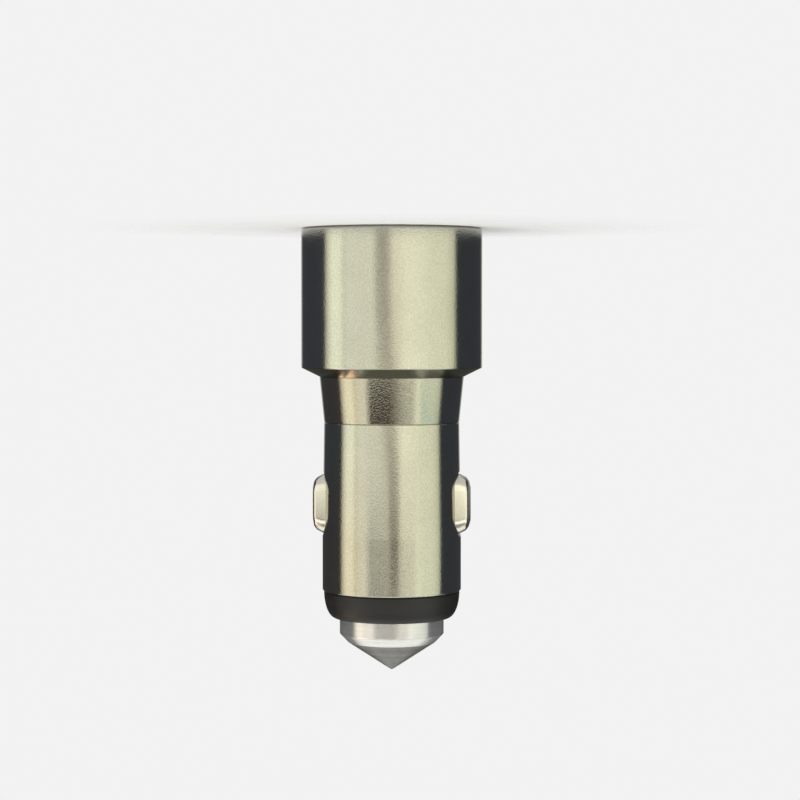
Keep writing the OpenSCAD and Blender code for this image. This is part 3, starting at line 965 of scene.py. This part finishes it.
def surface(finish, shader):
    """Puts another shader on a finish's surface."""
    finish.tree.links.new(
        shader.outputs[0], finish.tree.nodes["Material Output"].inputs["Surface"]
    )


floor_paint = Finish("pale_floor", Roughness=0.8)
floor_paint.feed("Base Color", (0.86, 0.86, 0.86, 1))
distance = floor_paint.node(
    "ShaderNodeVectorMath", {"operation": "LENGTH"}, {0: floor_paint.place()}
)
gone = floor_paint.fade(Number(floor_paint, distance.outputs[1]), 14, 50)
see_through = floor_paint.node("ShaderNodeBsdfTransparent", {}, {})
surface(
    floor_paint,
    floor_paint.node(
        "ShaderNodeMixShader",
        {},
        {0: gone, 1: floor_paint.shader.outputs[0], 2: see_through.outputs[0]},
    ),
)
disc = bmesh.new()
bmesh.ops.create_circle(disc, cap_ends=True, segments=96, radius=0.055)
on_stage("floor", disc, floor_paint)


# Light tent. White cloth in front, lit in strips, with dark cloth at the sides, a narrow
# lit strip behind, a grey roof and a warm card. Only reflections see it. Its angles are
# degrees from the camera, and its heights are millimetres above the floor.
NARROW_LEAN = 15
TENT_STRENGTH = 2.0
TENT_RADIUS = 0.55
TENT_LOW = -0.4
TENT_HIGH = 0.5


def lit(degrees, strength, red=1.0, green=0.97, blue=0.84):
    """A stop of the tent's wall, by its angle from the camera and its strength."""
    level = strength / TENT_STRENGTH
    return ((degrees + 180) / 360, (level * red, level * green, level * blue))


def patch(degrees, share):
    """A stop of a darker patch on the wall, by its angle and its share of the strength."""
    return lit(degrees, share, 1, 1, 1)


wall = bmesh.new()
low_point = wall.verts.new((0, TENT_RADIUS, TENT_LOW))
high_point = wall.verts.new((0, TENT_RADIUS, TENT_HIGH))
pole = wall.edges.new((low_point, high_point))
bmesh.ops.spin(
    wall,
    geom=[low_point, high_point, pole],
    cent=(0, 0, 0),
    axis=(0, 0, 1),
    angle=2 * math.pi,
    steps=120,
    use_merge=True,
)
cloth = Finish("tent_cloth")
across = cloth.along("X")
angle = across.math("ARCTAN2", across, 0 - cloth.along("Y")) * (180 / math.pi) - TURN
around = ((angle + 180) % 360.0) / 360
height = cloth.along("Z")
strips = cloth.ramp(
    around,
    [
        lit(-180, 0.5),
        lit(-162, 0.5),
        lit(-156, 0.065, 0.92, 1.0, 1.25),
        lit(-90, 0.075, 0.92, 1.0, 1.25),
        lit(-84, 1.15, 1.0, 1.0, 0.82),
        lit(-72, 1.48, 0.99, 1.0, 0.82),
        lit(-50, 1.58, 0.99, 1.0, 0.82),
        lit(-34, 1.74, 1.0, 0.99, 0.84),
        lit(-22, 1.82, 1.0, 0.98, 0.84),
        lit(-8, 1.66, 1.0, 0.96, 0.82),
        lit(12, 1.46, 1.0, 0.98, 0.86),
        lit(44, 1.46, 1.0, 1.0, 0.9),
        lit(56, 1.5, 1.0, 1.0, 0.9),
        lit(62, 1.36, 1.0, 1.0, 0.88),
        lit(68, 1.82, 0.98, 1.0, 0.88),
        lit(80, 1.82, 0.98, 1.0, 0.88),
        lit(88, 1.2, 1.0, 1.0, 0.86),
        lit(94, 0.085, 0.92, 1.0, 1.25),
        lit(156, 0.065, 0.92, 1.0, 1.25),
        lit(162, 0.5),
        lit(180, 0.5),
    ],
)
warmth = cloth.fade(height, 30, 100) * cloth.fade(angle, 28, 62)
strips = cloth.tint(warmth, strips, (1.0, 0.9, 0.82))
greener = cloth.fade(height, 128, 140) * cloth.fade(angle, -44, -54)
strips = cloth.tint(greener, strips, (0.66, 0.77, 0.8))
narrow = Number(
    cloth,
    cloth.ramp(
        around + cloth.fade(height, 10, 60) * (NARROW_LEAN / 360),
        [patch(-2, 0), patch(5, 1.8), patch(11, 2), patch(17, 1.8), patch(24, 0)],
    ),
)
wide = Number(
    cloth,
    cloth.ramp(
        around,
        [
            patch(-43, 0),
            patch(-36, 0.9),
            patch(-14, 1.4),
            patch(-4, 1.7),
            patch(4, 2),
            patch(35, 2),
            patch(45, 0),
        ],
    ),
)
on_tip = cloth.fade(height, 114, 122)
narrow_share = 0.5 + cloth.fade(height, 50, 105) * 0.4 - on_tip * 0.65
wide_share = (
    cloth.fade(height, 50, 110) * 0.62 - on_tip * 0.54 + cloth.fade(height, 132, 138) * 0.92
)
shade = narrow.math("MAXIMUM", narrow * narrow_share, wide * wide_share)
front = cloth.blend(shade, strips, (0.06, 0.045, 0.038))
facing = cloth.fade(abs(angle), 100, 80)
front = cloth.blend(cloth.fade(height, 225, 280) * facing, front, (0.97, 0.96, 0.9))
high_side = cloth.fade(height, 146, 190) * (1 - facing)
high_back = cloth.fade(height, 70, 100) * cloth.fade(abs(angle), 150, 160)
dark_cloth = high_side.math("MAXIMUM", high_side, high_back)
front = cloth.blend(dark_cloth, front, (0.03, 0.03, 0.028))
warm_card = cloth.fade(height, 425, 445) * cloth.fade(abs(angle - 98), 20, 12)
glow = cloth.node(
    "ShaderNodeEmission",
    {},
    {"Color": cloth.blend(warm_card, front, (2.5, 1.55, 1.1)), "Strength": TENT_STRENGTH},
)
surface(cloth, glow)
roof_cloth = Finish("roof_cloth")
depth = roof_cloth.along("Y")
width = roof_cloth.along("X")
overhead = roof_cloth.fade(depth - abs(width) * 0.6, 190, 90)
overhead = overhead * roof_cloth.fade(depth, -160, -90)
overhead = overhead * roof_cloth.fade(abs(width), 400, 310)
roof_shade = roof_cloth.blend(
    roof_cloth.fade(depth, 470, 520), (0.36, 0.36, 0.34), (0.08, 0.08, 0.075)
)
roof_shade = roof_cloth.blend(overhead, roof_shade, (1.45, 1.45, 1.38))
warm_edge = roof_cloth.fade(width, 390, 420) * roof_cloth.fade(abs(depth + 50), 120, 90)
roof_shade = roof_cloth.blend(warm_edge, roof_shade, (4.2, 2.7, 1.95))
roof_glow = roof_cloth.node(
    "ShaderNodeEmission", {}, {"Color": roof_shade, "Strength": 1.0}
)
surface(roof_cloth, roof_glow)
roof_shape = bmesh.new()
bmesh.ops.create_circle(roof_shape, cap_ends=True, segments=64, radius=TENT_RADIUS)
bmesh.ops.translate(roof_shape, verts=roof_shape.verts, vec=(0, 0, TENT_HIGH))
for piece in (
    on_stage("light_tent", wall, cloth),
    on_stage("tent_roof", roof_shape, roof_cloth),
):
    piece.visible_camera = False
    piece.visible_diffuse = False
    piece.visible_shadow = False
    piece.visible_transmission = False


# Lamp and backdrop. A softbox overhead and slightly in front gives plain light and a soft
# shadow, and the backdrop is an even pale grey.
softbox_data = bpy.data.lights.new("softbox", "AREA")
softbox_data.shape = "RECTANGLE"
softbox_data.size = 0.3
softbox_data.size_y = 0.24
softbox_data.energy = 1.7
softbox = bpy.data.objects.new("softbox", softbox_data)
bpy.context.scene.collection.objects.link(softbox)
softbox.location = (0.05, -0.2, 0.6)
softbox.rotation_mode = "QUATERNION"
softbox.rotation_quaternion = (-softbox.location).to_track_quat("-Z", "Y")
softbox.visible_glossy = False

world = bpy.data.worlds.new("backdrop")
bpy.context.scene.world = world
world.use_nodes = True
backdrop = world.node_tree
paths = backdrop.nodes.new("ShaderNodeLightPath")
seen = paths.outputs["Is Camera Ray"]
for ray in ("Is Glossy Ray", "Is Transmission Ray"):
    total = backdrop.nodes.new("ShaderNodeMath")
    total.operation = "ADD"
    total.use_clamp = True
    backdrop.links.new(seen, total.inputs[0])
    backdrop.links.new(paths.outputs[ray], total.inputs[1])
    seen = total.outputs[0]
tone = backdrop.nodes.new("ShaderNodeMix")
tone.data_type = "RGBA"
tone.inputs[6].default_value = (0.6, 0.6, 0.6, 1)
tone.inputs[7].default_value = (0.89, 0.89, 0.89, 1)
backdrop.links.new(seen, tone.inputs[0])
backdrop.links.new(tone.outputs[2], backdrop.nodes["Background"].inputs["Color"])

bpy.context.scene.view_settings.view_transform = "Standard"
